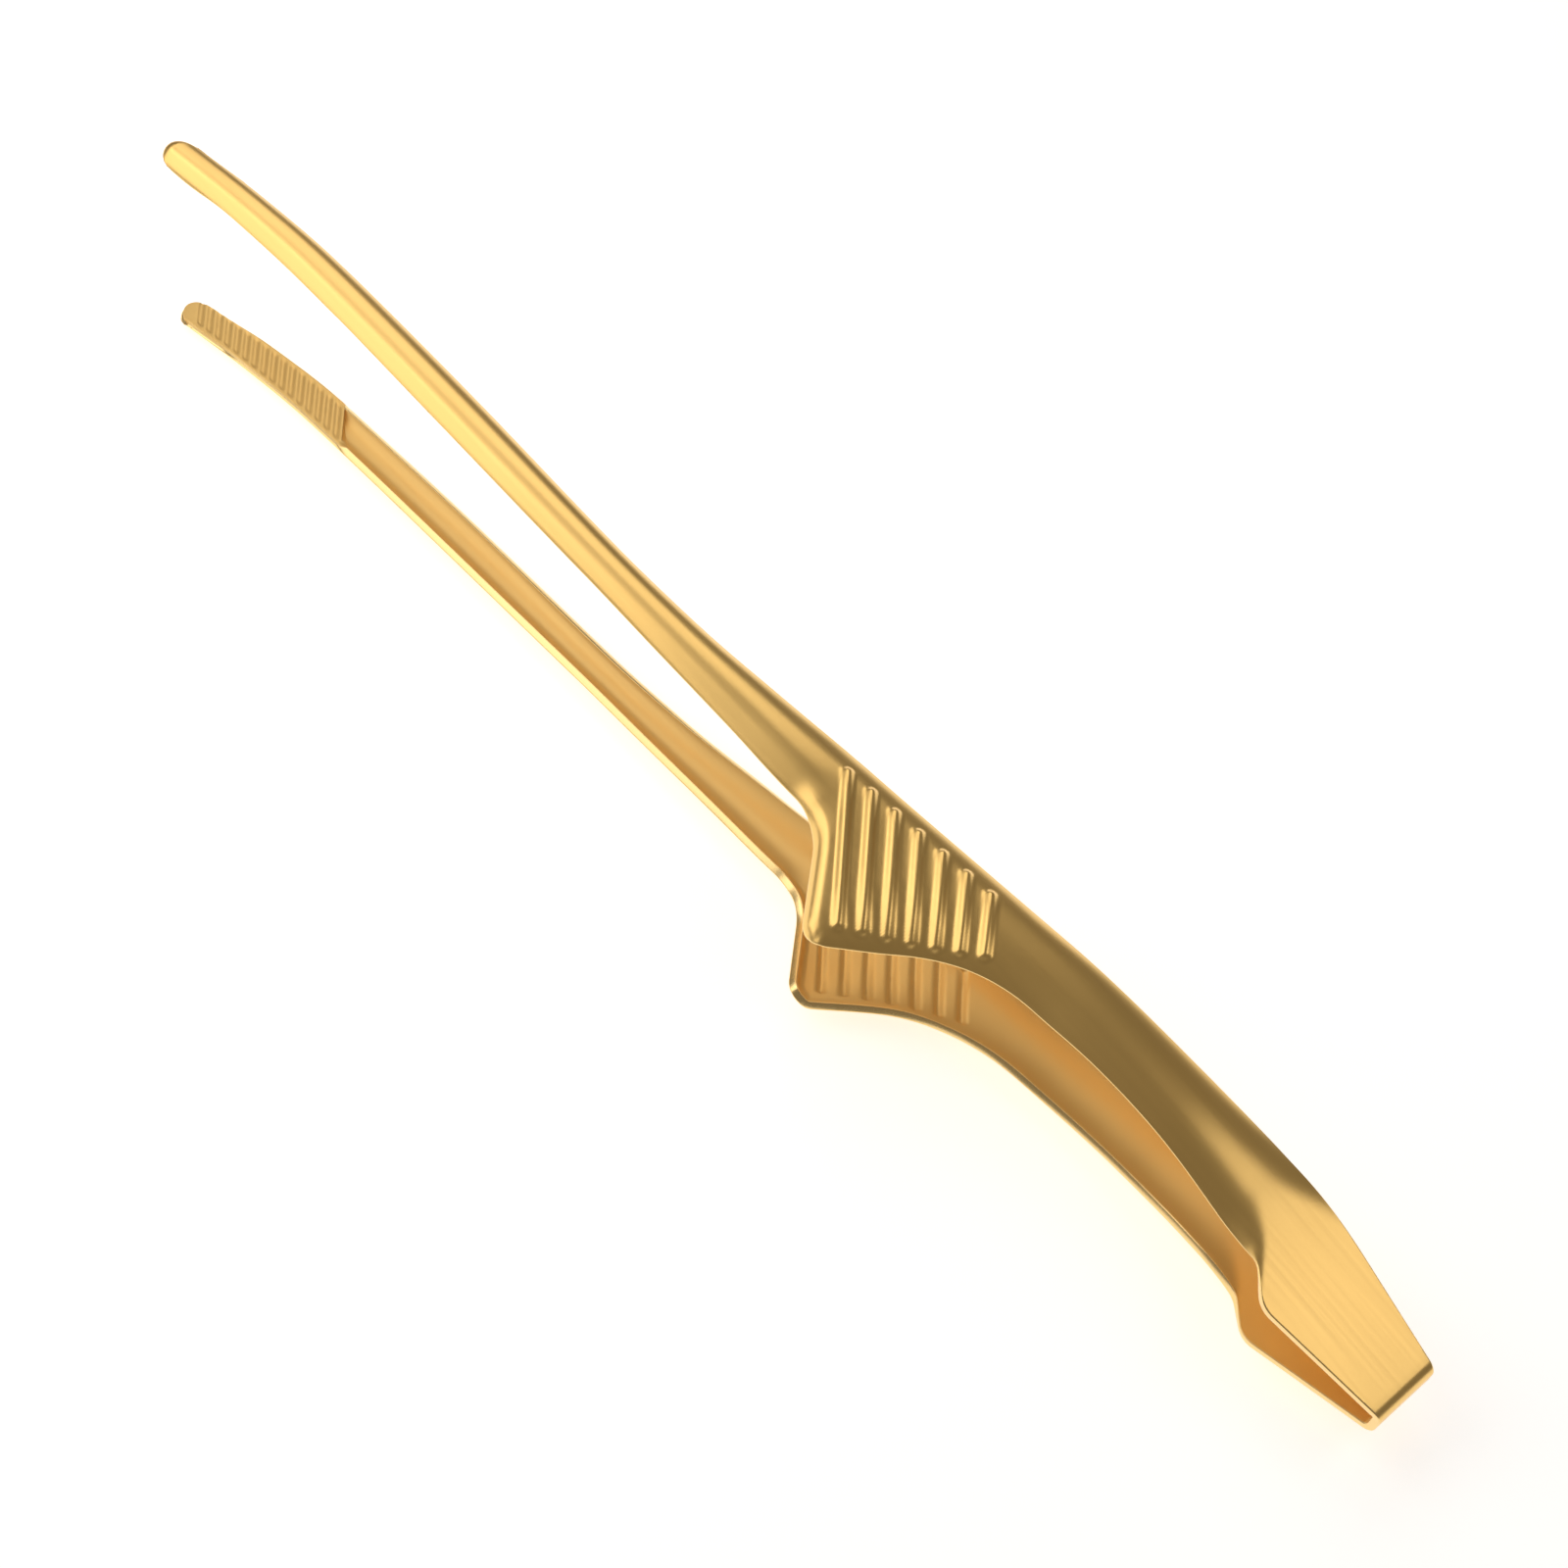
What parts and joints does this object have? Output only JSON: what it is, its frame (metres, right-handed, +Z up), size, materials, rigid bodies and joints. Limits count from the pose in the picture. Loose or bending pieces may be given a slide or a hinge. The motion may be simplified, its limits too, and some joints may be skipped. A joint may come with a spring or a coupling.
{
  "type": "ice tongs",
  "caption": "Slim spring tongs folded from one strip of gold steel, with ribbed finger rests and toothed tips.",
  "frame": {"origin": "centre of the footprint of the whole tool, on the table it lies on", "axes": "+X from the tips to the folded end, +Y across the strip away from the finger rests, +Z up, the way the tongs open; the tongs lie on the lower arm"},
  "size_m": [0.2406, 0.028, 0.0383],
  "materials": {
    "gold_steel": "satin stainless steel with a pale gold coating, fine lengthwise brushing, lightly rounded bright edges"
  },
  "bodies": {
    "spring_bow": {"spring_bow": "gold_steel"},
    "upper_arm": {"upper_arm": "gold_steel"},
    "lower_arm": {"lower_arm": "gold_steel"}
  },
  "joints": [
    {"name": "upper_leg_flex", "type": "hinge", "parent": "spring_bow", "child": "upper_arm", "pos_m": [0.11041, 0.00504, 0.01252], "axis": [0, -1, 0], "range_deg": [0, 4.17], "stiffness_Nm_per_rad": 9.7},
    {"name": "lower_leg_flex", "type": "hinge", "parent": "spring_bow", "child": "lower_arm", "pos_m": [0.11016, 0.00504, 0.00662], "axis": [0, 1, 0], "range_deg": [0, 4.17], "stiffness_Nm_per_rad": 9.7}
  ],
  "couplings": [
    {"joint": "lower_leg_flex", "follows": "upper_leg_flex", "ratio": 1}
  ]
}
